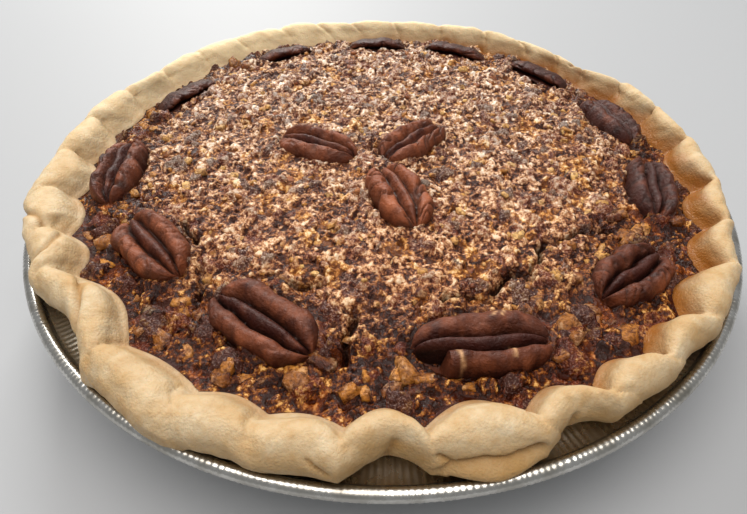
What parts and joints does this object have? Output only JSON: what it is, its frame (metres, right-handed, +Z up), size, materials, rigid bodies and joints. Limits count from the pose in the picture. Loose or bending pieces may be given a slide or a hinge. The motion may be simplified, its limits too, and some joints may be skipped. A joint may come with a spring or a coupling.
{
  "type": "pecan pie",
  "caption": "Baked pecan pie in a foil tin: fluted pastry crust, chopped-nut filling and pecan halves laid in a ring and in the middle.",
  "frame": {"origin": "centre of the tin's flat underside", "axes": "+Z up through the middle of the pie; -Y is the front, the side nearest in the reference view; +X is to the right"},
  "size_m": [0.222, 0.222, 0.0437],
  "materials": {
    "foil": "bright rolled foil with pressed pleats",
    "pastry": "matt baked shortcrust pastry, pale, with browned edges",
    "nut_filling": "baked chopped-nut and syrup filling, matt on top and glossy near the crust",
    "pecan_skin": "toasted pecan skin, satin"
  },
  "bodies": {
    "root": {"tin": "foil", "crust": "pastry", "filling": "nut_filling", "pecan_ring_01": "pecan_skin", "pecan_ring_02": "pecan_skin", "pecan_ring_03": "pecan_skin", "pecan_ring_04": "pecan_skin", "pecan_ring_05": "pecan_skin", "pecan_ring_06": "pecan_skin", "pecan_ring_07": "pecan_skin", "pecan_ring_08": "pecan_skin", "pecan_ring_09": "pecan_skin", "pecan_ring_10": "pecan_skin", "pecan_ring_11": "pecan_skin", "pecan_ring_12": "pecan_skin", "pecan_middle_1": "pecan_skin", "pecan_middle_2": "pecan_skin", "pecan_middle_3": "pecan_skin"}
  },
  "joints": []
}
